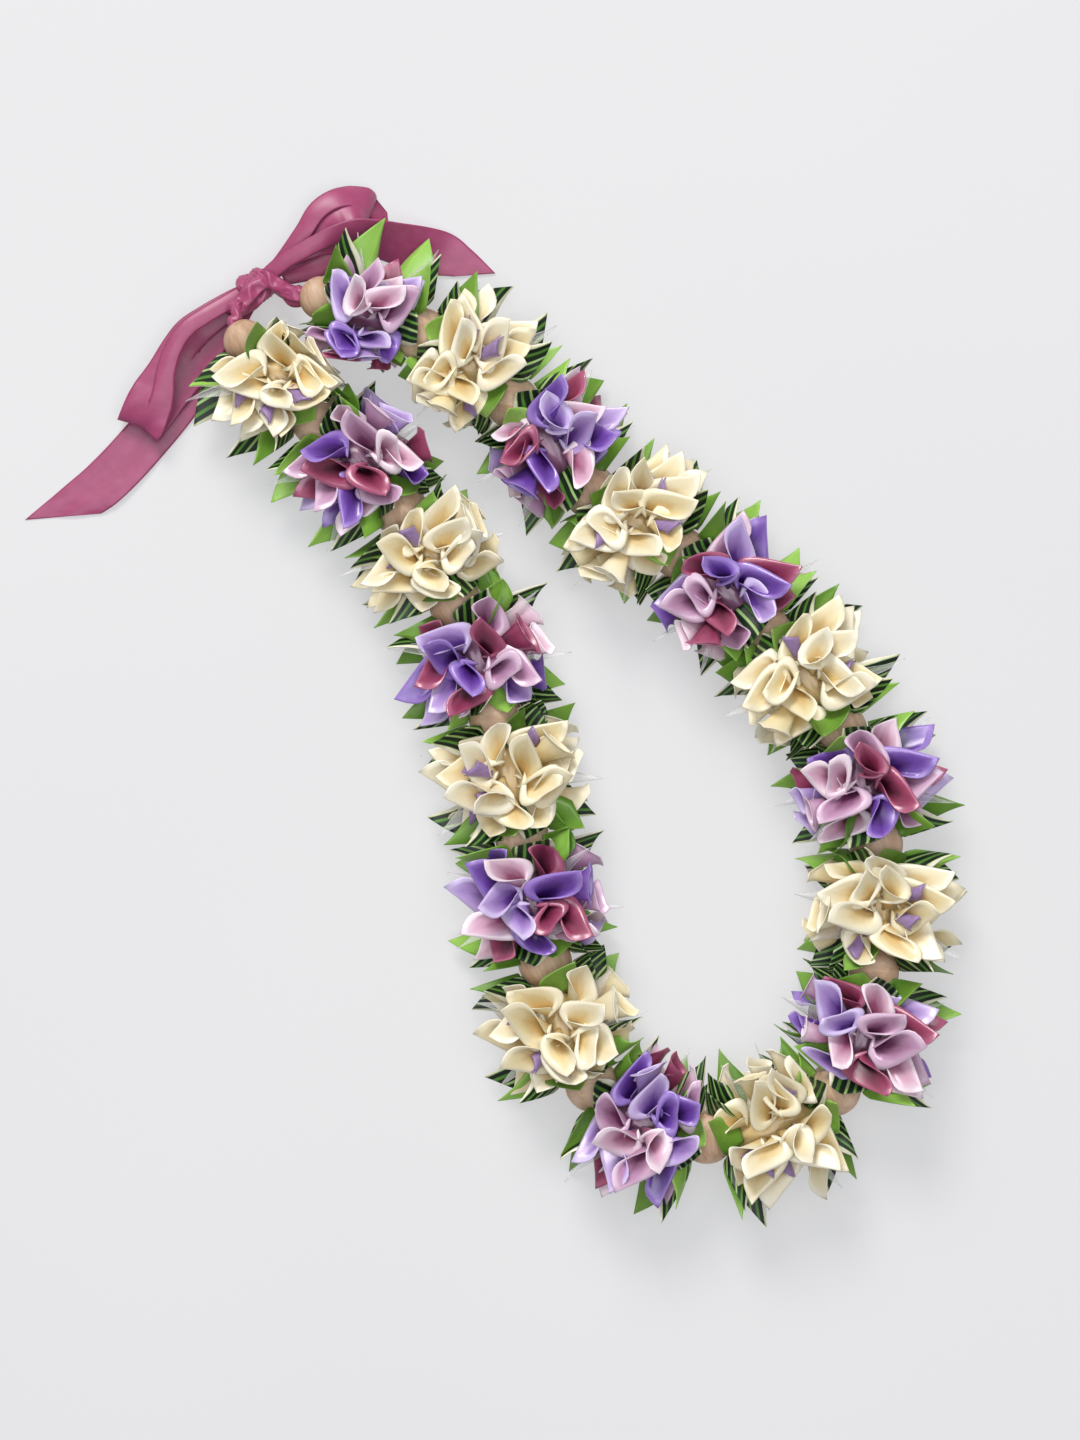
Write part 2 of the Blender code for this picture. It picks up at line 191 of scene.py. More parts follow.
def ribbon_object(name, grids, finishes, slot, *nodes, thickness=CLOTH):
    """A piece of cloth from grids: rows of (place, u, v), each grid with its finish's number."""
    points, faces, spots, kinds = [], [], [], []
    for rows, finish in grids:
        first, width = len(points), len(rows[0])
        for row in rows:
            points += [place for place, _, _ in row]
            spots += [(u, v) for _, u, v in row]
        for i in range(len(rows) - 1):
            for j in range(width - 1):
                corner = first + i * width + j
                faces.append((corner, corner + 1, corner + width + 1, corner + width))
                kinds.append(finish)
    mesh = bpy.data.meshes.new(name)
    mesh.from_pydata(points, [], faces)
    mesh.polygons.foreach_set("material_index", kinds)
    mesh.polygons.foreach_set("use_smooth", [True] * len(faces))
    layer = mesh.uv_layers.new(name="ribbon")
    for loop in mesh.loops:
        layer.data[loop.index].uv = spots[loop.vertex_index]
    for finish in finishes:
        mesh.materials.append(finish)
    piece = new_object(name, mesh)
    bpy.context.view_layer.objects.active = piece
    wall = piece.modifiers.new("cloth", "SOLIDIFY")
    wall.thickness, wall.offset = thickness, 0
    bpy.ops.object.modifier_apply(modifier=wall.name)
    part_of_lei(piece, slot, *nodes)
    return piece

# %% [markdown]
# ## Colours and finishes
# The photograph is read in display colours, but a shader works in linear light, so each colour is
# turned once. What several finishes share is a node group: the fine threads of a satin weave, the
# stitches along a woven edge, and the grain of the wood.

# %% Colours and node helpers
def linear(code):
    """A shader colour from a display colour such as 'f0e4bd'."""
    shown = [int(code[k:k + 2], 16) / 255 for k in (0, 2, 4)]
    return (*(c / 12.92 if c < 0.04045 else ((c + 0.055) / 1.055) ** 2.4 for c in shown), 1)


def feed(tree, made, inputs):
    """Sets a node's inputs, each to a value or to the socket that feeds it."""
    for key, value in inputs.items():
        if isinstance(value, bpy.types.NodeSocket):
            tree.links.new(value, made.inputs[key])
        else:
            made.inputs[key].default_value = value


def node(tree, kind, inputs=None, **settings):
    """The outputs of a new shader node of that kind, with its settings and inputs."""
    made = tree.nodes.new("ShaderNode" + kind)
    for setting, value in settings.items():
        setattr(made, setting, value)
    feed(tree, made, inputs or {})
    return made.outputs


def maths(tree, operation, first, second=0, clamp=False):
    """The output of a Math node."""
    return node(tree, "Math", {0: first, 1: second}, operation=operation, use_clamp=clamp)[0]


def times(tree, first, second):
    """The product of two values."""
    return maths(tree, "MULTIPLY", first, second)


def mixed(tree, share, first, second):
    """The first colour, with the second over it by that share."""
    return node(tree, "Mix", {"Factor": share, "A": first, "B": second}, data_type="RGBA")["Result"]


def ranged(tree, value, start, stop, low=0, high=1):
    """The value taken from the range of start to stop to that of low to high."""
    return node(tree, "MapRange", {"Value": value, "From Min": start, "From Max": stop,
                                   "To Min": low, "To Max": high})[0]


def ramp(tree, factor, stops):
    """The colour output of a ramp through (place, display colour) stops."""
    made = tree.nodes.new("ShaderNodeValToRGB")
    feed(tree, made, {"Fac": factor})
    elements = made.color_ramp.elements
    for element, (place, code) in zip(elements, (stops[0], stops[-1])):
        element.position, element.color = place, linear(code)
    for place, code in stops[1:-1]:
        elements.new(place).color = linear(code)
    return made.outputs["Color"]

# %% Node groups and materials
def group(name, wanted, given):
    """A node group's tree, what comes in, and the node that it goes out by."""
    tree = bpy.data.node_groups.new(name, "ShaderNodeTree")
    for title in (*wanted, *given):
        kind = "NodeSocketVector" if title in VECTORS else "NodeSocketFloat"
        tree.interface.new_socket(title, in_out="INPUT" if title in wanted else "OUTPUT",
                                  socket_type=kind)
    return tree, tree.nodes.new("NodeGroupInput").outputs, tree.nodes.new("NodeGroupOutput")


def new_finish(name, values):
    """A new material, its node tree and its shader with those inputs."""
    made = bpy.data.materials.new(name)
    made.use_nodes = True
    shader = made.node_tree.nodes["Principled BSDF"]
    feed(made.node_tree, shader, values)
    return made, made.node_tree, shader


def bumped(tree, shader, height, strength):
    """Puts a bump of that height on the shader."""
    bump = node(tree, "Bump", {"Height": height, "Strength": strength, "Distance": 0.1 * MM})
    feed(tree, shader, {"Normal": bump["Normal"]})


VECTORS = ("Place", "Size in mm")

# %% The weave of satin ribbon
TWILL_STEP = 0.9
weave, weave_in, weave_out = group("satin_weave", VECTORS, ("Streaks", "Clouds", "Height"))
flat = node(weave, "VectorMath", {0: weave_in["Place"], 1: weave_in["Size in mm"]},
            operation="MULTIPLY")[0]
drawn = node(weave, "Mapping", {"Vector": flat, "Scale": (2.6, 0.12, 1)})[0]
threads = node(weave, "TexNoise", {"Vector": drawn, "Scale": 1, "Detail": 3})["Fac"]
clouds = node(weave, "TexNoise", {"Vector": flat, "Scale": 0.16, "Detail": 2})["Fac"]
apart = node(weave, "SeparateXYZ", {"Vector": flat})
slant = maths(weave, "ADD", apart["X"], apart["Y"])
twill = maths(weave, "SINE", times(weave, slant, 2 * pi / TWILL_STEP))
height = maths(weave, "ADD", threads, times(weave, twill, 0.22))
feed(weave, weave_out, {"Streaks": threads, "Clouds": clouds, "Height": height})

# %% The stitches along a woven edge
stitch, stitch_in, stitch_out = group(
    "edge_stitches", ("Along", "From edge", "Stitches", "Row", "Half row"), ("Mask",))
beat = maths(stitch, "SINE", times(stitch, stitch_in["Along"],
                                   times(stitch, stitch_in["Stitches"], 2 * pi)))
off = maths(stitch, "ABSOLUTE", maths(stitch, "SUBTRACT", stitch_in["From edge"], stitch_in["Row"]))
near = maths(stitch, "LESS_THAN", off, stitch_in["Half row"])
feed(stitch, stitch_out, {"Mask": times(stitch, maths(stitch, "GREATER_THAN", beat, -0.1), near)})
print("groups:", [g.name for g in bpy.data.node_groups])

# %% Cloth finishes
def fabric(name, roughness, sheen, tint, size, strength, gloss=0.5):
    """A new cloth material, the place on its ribbon whole and apart, and a weave of that size."""
    material, tree, shader = new_finish(name, {
        "Roughness": roughness, "Specular IOR Level": gloss, "Sheen Weight": sheen,
        "Sheen Roughness": 0.35, "Sheen Tint": linear(tint)})
    place = node(tree, "UVMap", uv_map="ribbon")["UV"]
    spot = node(tree, "SeparateXYZ", {"Vector": place})
    made = node(tree, "Group", {"Place": place, "Size in mm": size}, node_tree=weave)
    bumped(tree, shader, made["Height"], strength)
    return material, tree, shader, place, spot, made


def tinted(tree, colour, made, low, high):
    """The colour a little darker and lighter along the threads and in soft clouds."""
    both = maths(tree, "ADD", made["Streaks"], times(tree, made["Clouds"], 0.4))
    level = ranged(tree, both, 0.45, 0.95, low, high)
    return node(tree, "VectorMath", {0: colour, 1: level}, operation="MULTIPLY")[0]


def stitched(tree, colour, thread, seen, along, from_edge, stitches, row, half_row):
    """The colour with stitches of another thread along an edge, seen by that share."""
    mask = node(tree, "Group", {"Along": along, "From edge": from_edge, "Stitches": stitches,
                                "Row": row, "Half row": half_row}, node_tree=stitch)
    return mixed(tree, times(tree, mask["Mask"], seen), colour, linear(thread))

# %% Petal satin
PETAL_FLAT = (50, 30, 1)
# Along a petal: painted shade in the throat, the ribbon's own colour, then a painted highlight on the
# lip.
PETAL_STOPS = (0.34, 0.66, 0.87)
LIP_STITCHES = (84, 0.965, 0.012)
SIDE_STITCHES = (36, 0.982, 0.006)
ONE_SIDE = 0.6


def petal_satin(name, lip, middle, throat, gloss=1):
    """Satin of a folded petal with stitched edges: painted shade deep in its throat, a painted highlight
    on its rolled lip.
    """
    material, tree, shader, _, spot, made = fabric(name, 0.31, 0.1, lip, PETAL_FLAT, 0.04, gloss)
    wavy = times(tree, maths(tree, "SUBTRACT", made["Clouds"], 0.5), 0.22)
    stops = tuple(zip(PETAL_STOPS, (throat, middle, lip)))
    colour = tinted(tree, ramp(tree, maths(tree, "ADD", spot["Y"], wavy), stops), made, 0.975, 1.025)
    seen = times(tree, maths(tree, "GREATER_THAN", spot["X"], ONE_SIDE), 0.3)
    colour = stitched(tree, colour, "ffffff", seen, spot["X"], spot["Y"], *LIP_STITCHES)
    colour = stitched(tree, colour, "ffffff", seen, spot["Y"], spot["X"], *SIDE_STITCHES)
    feed(tree, shader, {"Base Color": colour})
    return material


# Given as lip, middle and throat: a painted highlight, the ribbon's own colour, and painted shade.
CREAM = [petal_satin("cream_satin_light", "f7f0d8", "efe3c0", "dabd80", gloss=0.8),
         petal_satin("cream_satin_warm", "f4eaca", "ebdaaa", "cfab68", gloss=0.8)]
PURPLE = [petal_satin("purple_satin", "9c7bcc", "6c42a4", "300c54"),
          petal_satin("pink_satin", "f3e0ea", "dcb0c6", "96506f", gloss=0.8),
          petal_satin("mauve_satin", "ae5878", "8d3354", "38081c"),
          petal_satin("lilac_satin", "d2c0ea", "b090d0", "5c3486", gloss=0.9),
          petal_satin("orchid_satin", "dcbcd4", "bd8db0", "6a3256")]
print("satins:", [m.name for m in CREAM + PURPLE])

# %% [markdown]
# ## Wooden beads
# A turned bead is a ball with a hole drilled through it and a worn rim round the hole. It could be
# made with a Boolean, but cutting a sphere at both ends and bridging the two cuts keeps clean rings of
# faces. The bead is modelled once, standing on its hole, and each copy is turned along the strand.

# %% Wood
grain, grain_in, grain_out = group("wood_grain", ("Place",), ("Rings", "Pores"))
bent = node(grain, "TexNoise", {"Vector": grain_in["Place"], "Scale": 60})["Color"]
warped = node(grain, "Mix", {"Factor": 0.003, "A": grain_in["Place"], "B": bent}, data_type="VECTOR")[1]
for title, scale, detail in (("Rings", (240, 240, 14), 2), ("Pores", (900, 900, 60), 4)):
    drawn = node(grain, "Mapping", {"Vector": warped, "Scale": scale})[0]
    streaks = node(grain, "TexNoise", {"Vector": drawn, "Scale": 1, "Detail": detail})["Fac"]
    feed(grain, grain_out, {title: streaks})


def bead_wood(name, turn, stops):
    """Unvarnished wood in the ramp's colours, with its grain turned by three angles."""
    material, tree, shader = new_finish(name, {})
    place = node(tree, "TexCoord")["Object"]
    turned = node(tree, "Mapping", {"Vector": place, "Rotation": turn})[0]
    made = node(tree, "Group", {"Place": turned}, node_tree=grain)
    both = maths(tree, "ADD", times(tree, made["Rings"], 0.6), times(tree, made["Pores"], 0.4))
    bumped(tree, shader, made["Pores"], 0.25)
    feed(tree, shader, {"Base Color": ramp(tree, both, stops),
                        "Roughness": ranged(tree, made["Pores"], 0, 1, 0.5, 0.68)})
    return material


# One wood in a lit and a shaded copy: the strand's beads get the paler one, painted light that makes up
# for the shade of the petals round them; the two end beads, out in the open, get the darker one, painted
# shade.
LIT_STRAND_WOOD = ((0.3, "c99e7e"), (0.45, "dab496"), (0.58, "e6c4a9"), (0.72, "efd4bc"))
DIMMED_END_WOOD = ((0.3, "ab8265"), (0.45, "bc987b"), (0.58, "c8a78d"), (0.72, "d2b69e"))
TURNS = {"upright": (1.3, 0.2, 0), "slanting": (1.5, 0.4, 0.9), "level": (0.2, 1.4, 0.3)}
WOODS = [bead_wood("bead_wood_" + name, turn, LIT_STRAND_WOOD) for name, turn in TURNS.items()]
END_WOOD = bead_wood("bead_wood_end", TURNS["slanting"], DIMMED_END_WOOD)
print("woods:", [m.name for m in (*WOODS, END_WOOD)])

# %% One bead, cut and bridged
HOLE_RADIUS = 2.7 * MM
RIM_ROUND = 0.5 * MM
RIM_ANGLE = radians(50)

bpy.ops.mesh.primitive_uv_sphere_add(segments=32, ring_count=18, radius=BEAD_RADIUS, calc_uvs=False)
pattern = bpy.context.object
cut = sqrt(BEAD_RADIUS ** 2 - HOLE_RADIUS ** 2)
bpy.ops.object.mode_set(mode="EDIT")
for side in (1, -1):
    bpy.ops.mesh.select_all(action="SELECT")
    bpy.ops.mesh.bisect(plane_co=(0, 0, side * cut), plane_no=(0, 0, side), clear_outer=True)
bpy.ops.mesh.select_all(action="DESELECT")
bpy.ops.mesh.select_mode(type="EDGE")
bpy.ops.mesh.select_non_manifold()
bpy.ops.mesh.bridge_edge_loops()
bpy.ops.mesh.select_all(action="SELECT")
bpy.ops.mesh.normals_make_consistent(inside=False)
bpy.ops.object.mode_set(mode="OBJECT")
rounding = pattern.modifiers.new("rim", "BEVEL")
rounding.width, rounding.segments = RIM_ROUND, 2
rounding.limit_method, rounding.angle_limit = "ANGLE", RIM_ANGLE
bpy.ops.object.modifier_apply(modifier=rounding.name)
bpy.ops.object.shade_smooth_by_angle(angle=RIM_ANGLE)
print("bead faces:", len(pattern.data.polygons))

# %% Nineteen copies along the strand
for number, bead in enumerate(beads, start=1):
    copy = new_object(f"turned_bead_{number:02d}", pattern.data.copy())
    size = Matrix.Scale(bead.radius / BEAD_RADIUS, 4)
    spin = Matrix.Rotation(1.7 * number, 4, "Z")
    upright = bead.along.to_track_quat("Z", "Y").to_matrix().to_4x4()
    copy.data.transform(Matrix.Translation(bead.place) @ upright @ spin @ size)
    copy.data.materials.append(END_WOOD if bead.radius < BEAD_RADIUS else WOODS[number % 3])
    part_of_lei(copy, "wood", f"bead_{number:02d}")
bpy.data.objects.remove(pattern)
print("beads placed:", len(beads))

# %% [markdown]
# ## Folded petals
# Each petal is a short piece of satin ribbon folded round into a cone, with its two sides crossing in
# front and its lip rolled outwards. One side of the lip is pulled to a corner. The cone could be
# sculpted, but a profile that is swept round it gives every petal the same cloth: the profile is wide
# and rolled at the back, short where the sides cross, and flattened so that the mouth is oval.

# %% The shape of one petal
ROUND_STEPS = 24
BODY_ROWS = (0, 0.36, 0.7, 1)
LIP_ROWS = (0.18, 0.38, 0.58, 0.79, 1)
LIP_START = 0.75
ROOT_RADIUS = 0.9 * MM
TIP_PLACE = 2 / 12
LARGEST_LIP = 0.46
TIP_REACH = 0.2
TIP_SPREAD = 0.17
DENT_SPREAD = 0.16
EDGE_WAVE = 0.03
SIDE_WAVE = 0.06

# tilt, spread: the cone's lean off the petal's line and its opening (degrees). depth: how round it is.
# front: length of the cloth in front, as a share of the back's. slopes: how fast it shortens from the tip
# to the front. curl, lip: how far the lip rolls (degrees) and how wide it is (mm). These three have one
# value for each side of the tip. lap: how far the sides cross. dent: a groove down the back.
Fold = namedtuple("Fold", "tilt spread depth front slopes curl lip lap spiral dent")
OPEN = Fold(11, 27, 0.36, 0.24, (1.15, 0.82), (122, 56), (6.4, 2.4), 0.16, 0.06, 0)
LOOP = Fold(10, 20, 0.42, 0.34, (1, 0.75), (125, 72), (6, 3.4), 0.25, 0.12, 0)
HEART = Fold(9, 23, 0.42, 0.34, (0.6, 0.55), (130, 100), (6, 5), 0.25, 0.1, 0.42)
SCROLL = Fold(6, 15, 0.62, 0.42, (1.1, 0.9), (110, 50), (5.6, 3), 0.8, 0.28, 0)
TUBE = Fold(6, 14, 0.22, 0.66, (0.55, 0.35), (60, 14), (4.2, 2.5), 0.42, 0.2, 0)
BAND = Fold(4, 17, 0.4, 0.7, (0.36, 0.28), (70, 40), (4.4, 3.6), 0.3, 0.1, 0)
PRESSED = Fold(4, 18, 0.4, 0.7, (0.7, 0.7), (60, 60), (4, 4), 0.1, 0.04, 0)


def petal_rows(length, fold, side, wobble):
    """Rows of (place, u, v) in the petal's own axes: along it, across it, and out of its face."""
    tilt, spread = radians(fold.tilt), radians(fold.spread)
    axis = Vector((cos(tilt), 0, sin(tilt)))
    raised = Vector((-sin(tilt), 0, cos(tilt)))
    rows = [[] for _ in BODY_ROWS + LIP_ROWS]
    for j in range(ROUND_STEPS + 1):
        s = 2 * j / ROUND_STEPS - 1
        off = s * side - TIP_PLACE
        reach, slope = (1 - TIP_PLACE, fold.slopes[1]) if off > 0 else (1 + TIP_PLACE, fold.slopes[0])
        share = fold.front + (1 - fold.front) * max(0, 1 - abs(off) / reach) ** slope
        tip = exp(-abs(off) / TIP_SPREAD)
        share += TIP_REACH * fold.slopes[0] * tip
        share += EDGE_WAVE * noise.noise(Vector((2.2 * s, wobble, 0)))
        second = 0.5 + 0.5 * sin(pi * max(-0.5, min(0.5, 1.1 * off)))
        lip = min(between(second, *fold.lip) * MM, LARGEST_LIP * share * length)
        curl = between(second, *fold.curl) * (1 - 0.8 * tip * min(1, fold.slopes[0]))
        body = share * length - lip
        stations = [(body * k, 0, LIP_START * k) for k in BODY_ROWS]
        stations += [(body + lip * k, k, LIP_START + (1 - LIP_START) * k) for k in LIP_ROWS]
        dent = fold.dent * exp(-(s / DENT_SPREAD) ** 2)
        out, run, before, rolled_before = ROOT_RADIUS, 0, 0, 0
        for k, (reached, roll, v) in enumerate(stations):
            step = reached - before
            lean = spread * (0.7 + 0.5 * (reached + before) / (2 * share * length))
            lean += radians(curl) * ((roll + rolled_before) / 2) ** 0.6
            out += step * sin(lean)
            run += step * cos(lean)
            before, rolled_before = reached, roll
            around = pi * s * (1 + fold.lap * v)
            wide = out * (1 + fold.spiral * s * side) * (1 - dent * v)
            wide *= 1 + SIDE_WAVE * noise.noise(Vector((1.5 * s, 3 * v, wobble)))
            place = axis * run + Vector((0, wide * sin(around), 0))
            place -= raised * (wide * fold.depth * cos(around))
            rows[k].append((place, j / ROUND_STEPS, v))
    return rows

# %% Petals placed round a cluster
PETAL_LENGTH = 29 * MM
PETAL_ROOT_DEPTH = 5.8 * MM
# Place along the cluster (mm), direction seen from above (degrees, 90 is the outer side), height of the
# tip (degrees), how far the root is raised (mm), share of the full length, kind. A BAND lies face down,
# so that its rounded back shows, and so do the last two, which are pressed under the cluster.
PETALS = (
    (-7, 114, -2, 0, 1, OPEN), (7, 66, -2, 0, 1, OPEN), (0, 90, 9, 1, 1.06, OPEN),
    (-7, 136, 14, 4, 0.96, OPEN), (7, 44, 14, 4, 0.96, OPEN), (-4, 106, 25, 7, 1, OPEN),
    (4, 72, 29, 8, 0.98, OPEN), (-7, -114, 8, 0, 1, BAND), (7, -64, 8, 0, 0.98, BAND),
    (0, -90, 18, 2, 1.02, TUBE), (-7, -142, 20, 5, 0.94, OPEN), (7, -36, 22, 5, 0.94, LOOP),
    (-2, -104, 31, 7, 0.98, BAND), (4, -64, 34, 8, 0.94, LOOP), (-5, 162, 31, 9, 0.94, OPEN),
    (5, 14, 31, 9, 0.96, OPEN), (-1, 116, 40, 9, 0.94, OPEN), (1, -46, 44, 8, 0.9, HEART),
    (0, 30, 50, 7, 0.84, SCROLL), (1, -134, 44, 8, 0.9, OPEN),
    (-6, 124, -29, -1, 0.96, OPEN), (6, 56, -29, -1, 0.96, OPEN), (-6, -124, -27, -1, 0.94, OPEN),
    (6, -56, -27, -1, 0.94, LOOP), (0, 90, -50, 0, 1, PRESSED), (0, -90, -50, 0, 1, PRESSED),
)
AZIMUTH_PLAY, HEIGHT_PLAY, ROLL_PLAY = 12, 4, 24
# How much fuller a cluster is on its inner side than on its outer one.
FULLER_INSIDE = {1: 0.07, 2: 0.07, 17: 0.05, 18: 0.18}
INWARD = 28 * MM
LENGTH_PLAY = 0.06

# %% Directions round the strand
def pointing(azimuth, height):
    """Unit vectors in the cluster's axes: along the petal, across it, and out of its upper face."""
    azimuth, height = radians(azimuth), radians(height)
    outward = Vector((cos(azimuth), sin(azimuth), 0))
    along = outward * cos(height) + Vector((0, 0, sin(height)))
    face = outward * -sin(height) + Vector((0, 0, cos(height)))
    return along, face.cross(along), face


def direction(turn, lean):
    """The same three for a leaf, from its turn away from the top and its lean along the strand."""
    turn, lean = radians(turn), radians(lean)
    radial = Vector((0, sin(turn), cos(turn)))
    face = Vector((0, -cos(turn), sin(turn)))
    along = radial * cos(lean) + Vector((sin(lean), 0, 0))
    return along, face.cross(along), face


def laid_out(rows, cluster, root, axes, room=1):
    """Rows in a piece's own axes, brought to the strand and clear of what they touch."""
    along, across, face = axes
    return [[(settled(root + along * p.x + across * p.y + face * p.z, cluster, room), u, v)
             for p, u, v in row] for row in rows]


def rolled(axes, angle):
    """The same axes turned about the first of them."""
    along, across, face = axes
    swing = Matrix.Rotation(radians(angle), 3, along)
    return along, swing @ across, swing @ face


def root_of(along, depth, place):
    """Where a petal starts, a little out from the strand."""
    root = Vector((0, along.y, along.z)).normalized() * depth
    root.x = place
    return root

# %% A place for each petal
Spot = namedtuple("Spot", "root axes length fold")
vary = random.Random(11)
play = vary.uniform
flower_spots = []
for number, cluster in enumerate(clusters, start=1):
    spots, uneven = [], FULLER_INSIDE.get(number, 0)
    for place, azimuth, height, rise, share, fold in PETALS:
        low = abs(height) < 20 or fold is PRESSED
        fold = vary.choice((SCROLL, LOOP)) if fold is SCROLL else fold
        if fold is not PRESSED:
            azimuth += play(-AZIMUTH_PLAY, AZIMUTH_PLAY)
            height += play(-HEIGHT_PLAY, HEIGHT_PLAY)
            share *= 1 + play(-LENGTH_PLAY, LENGTH_PLAY)
        if low and azimuth > 0:
            height += cluster.lift
        roll = 180 if fold in (PRESSED, BAND) else 0
        axes = rolled(pointing(azimuth, height), roll + play(-ROLL_PLAY, ROLL_PLAY))
        root = root_of(axes[0], PETAL_ROOT_DEPTH, place * MM * cluster.half / SLEEVE_HALF)
        root += Vector((0, -INWARD * uneven, rise * MM))
        share *= 1 - uneven * sin(radians(azimuth))
        spots.append(Spot(root, axes, PETAL_LENGTH * share, fold))
    flower_spots.append(spots)
print("petals:", sum(len(spots) for spots in flower_spots))

# %% A gathered heart under the petals
def pleated_tube(path, radii, pleats, depth, twist, sides=24):
    """Rows of a gathered ribbon round a path: a tube with soft pleats that wind along it."""
    rows = []
    last = len(path) - 1
    travelled = 0
    for i, (place, radius) in enumerate(zip(path, radii)):
        along = (path[min(i + 1, last)] - path[max(i - 1, 0)]).normalized()
        side = along.cross(Vector((0, 0, 1)))
        side = side.normalized() if side.length > 0.2 else Vector((along.z, 0, -along.x)).normalized()
        up = side.cross(along)
        if i:
            travelled += (place - path[i - 1]).length
        row = []
        for k in range(sides + 1):
            angle = 2 * pi * k / sides
            wave = 1 - 2.2 * abs(sin(pleats / 2 * angle + twist * travelled / MM)) ** 0.7
            wave += 0.5 * sin((pleats + 2) * angle - 1.7 * twist * travelled / MM)
            size = radius * (1 + depth * wave)
            row.append((place + side * size * cos(angle) + up * size * sin(angle),
                        k / sides, travelled / (22 * MM)))
        rows.append(row)
    return rows


HEART_RADIUS = 8.4 * MM
HEART_RISE = 3.5 * MM
# The heart takes the petal ramp at one place near the throat, so its colour is mostly the throat's
# painted shade.
HEART_SHADE_PLACE = 0.42


def heart_rows(cluster):
    """The gathered middle that the petals are sewn to, from one bead to the other."""
    reach = cluster.half - MM
    shares = [k / 10 for k in range(-10, 11)]
    path = [cluster.frame @ Vector((reach * share, 0, HEART_RISE * (1 - share ** 2))) for share in shares]
    radii = [HEART_RADIUS * (1 - 0.5 * share ** 4) for share in shares]
    rows = pleated_tube(path, radii, 7, 0.09, 0.15, sides=28)
    return [[(place, u, HEART_SHADE_PLACE) for place, u, _ in row] for row in rows]

# %% Eighteen clusters of petals
# Which colour each petal of a cluster takes, so that no two neighbours are alike.
SHADE_ORDER = (0, 2, 4, 1, 3, 1, 2, 0, 4, 0, 3, 2, 1, 3, 2, 1, 4, 3, 4, 1, 1, 3, 2, 0, 3, 4)
for number, (cluster, spots) in enumerate(zip(clusters, flower_spots), start=1):
    palette = CREAM if number % 2 else PURPLE
    grids = [(heart_rows(cluster), len(palette) - 1)]
    for k, spot in enumerate(spots):
        fold = spot.fold._replace(depth=spot.fold.depth * play(0.85, 1.2),
                                  spread=spot.fold.spread * play(0.94, 1.08))
        rows = petal_rows(spot.length, fold, vary.choice((-1, 1)), play(0, 50))
        shade = (SHADE_ORDER[k] + number // 2 * 3) % len(palette)
        grids.append((laid_out(rows, cluster, spot.root, spot.axes), shade))
    piece = ribbon_object(f"petals_{number:02d}", grids, palette,
                          "cream_satin" if number % 2 else "violet_satin", f"bloom_{number:02d}")
print("faces in the last cluster:", len(piece.data.polygons))

# %% [markdown]
# ## Sheer ribbon
# Rolls of sheer lilac ribbon lie in some cream petals, and spikes of white sheer ribbon with a
# glittering edge stand out between the petals. Sheer cloth is mostly air, so its Alpha is low between
# the threads and high along the woven edge.

# %% Sheer finishes
SHEER_FLAT = (12, 30, 1)
GLITTER_CELLS = (13, 34, 1)


def sheer(name, colour, edge, low, high, glitter):
    """Sheer ribbon: see-through between its threads, denser at its edges, with bright points."""
    material, tree, shader, place, spot, made = fabric(name, 0.4, 0.5, "ffffff", SHEER_FLAT, 0.2)
    middle = maths(tree, "ABSOLUTE", maths(tree, "SUBTRACT", spot["X"], 0.5))
    rim = ranged(tree, middle, 0.4, 0.47)
    cells = node(tree, "Mapping", {"Vector": place, "Scale": GLITTER_CELLS})
    crumbs = node(tree, "TexVoronoi", {"Vector": cells[0], "Scale": 1})
    near_point = maths(tree, "LESS_THAN", crumbs["Distance"], 0.26)
    lit = times(tree, near_point, maths(tree, "ADD", times(tree, rim, 0.9), 0.12))
    bright = maths(tree, "MULTIPLY", lit, glitter, clamp=True)
    body = ranged(tree, made["Streaks"], 0.3, 0.7, low, high)
    denser = maths(tree, "MAXIMUM", body, times(tree, rim, 0.6))
    feed(tree, shader, {"Base Color": mixed(tree, bright, linear(colour), linear(edge)),
                        "Alpha": maths(tree, "MAXIMUM", denser, bright, clamp=True)})
    return material


SHEER = [sheer("sheer_white", "f6f4f5", "ffffff", 0.14, 0.34, 1),
         sheer("sheer_lilac", "a98bbd", "e4d6ee", 0.6, 0.88, 0.5)]
print("sheer finishes:", [m.name for m in SHEER])

# %% Rolls and spikes
ROLL_TURNS = 1.45
SHEER_CLOTH = 0.12 * MM


def sheer_roll(start, stop, radius):
    """A strip of sheer ribbon rolled one and a half times round, with a slanting cut."""
    def spot(share, wound):
        turn = 2 * pi * ROLL_TURNS * wound
        size = radius * (0.62 + 0.38 * wound) * (0.55 + 0.5 * share)
        run = between(share * (1 - 0.22 * cos(turn)), start, stop)
        return Vector((run, size * cos(turn), size * 0.8 * sin(turn))), wound, share
    return grid_rows(6, 16, spot)


def spike_rows(length, width, bow, wobble):
    """A spike of sheer ribbon folded lengthwise, cut slanting to a point."""
    def spot(share, across):
        b = 2 * across - 1
        half = width / 2 * min(1, 0.25 + 3 * share) * (1 - max(0, share - 0.45) / 0.58)
        fold = 0.5 * abs(b) * half + bow * share ** 2
        curl = 1.2 * MM * noise.noise(Vector((3 * share, b, wobble)))
        return Vector((length * share, b * half, fold + curl)), across, share
    return grid_rows(8, 4, spot)


# Place along the cluster (mm), turn from the top, lean (degrees) and length (mm) of each spike, and the
# petals that hold a roll, by the remainder of the cluster's number.
SPIKES = ((-5.5, 84, -26, 38), (4.5, 100, 30, 36), (1, -84, 10, 38), (-4, -68, -28, 36))
ROLL_PLACES = {0: (2, 5, 14, 13), 1: (5, 6, 15), 2: (1, 6, 16, 10)}
LOW_DOWN = 70

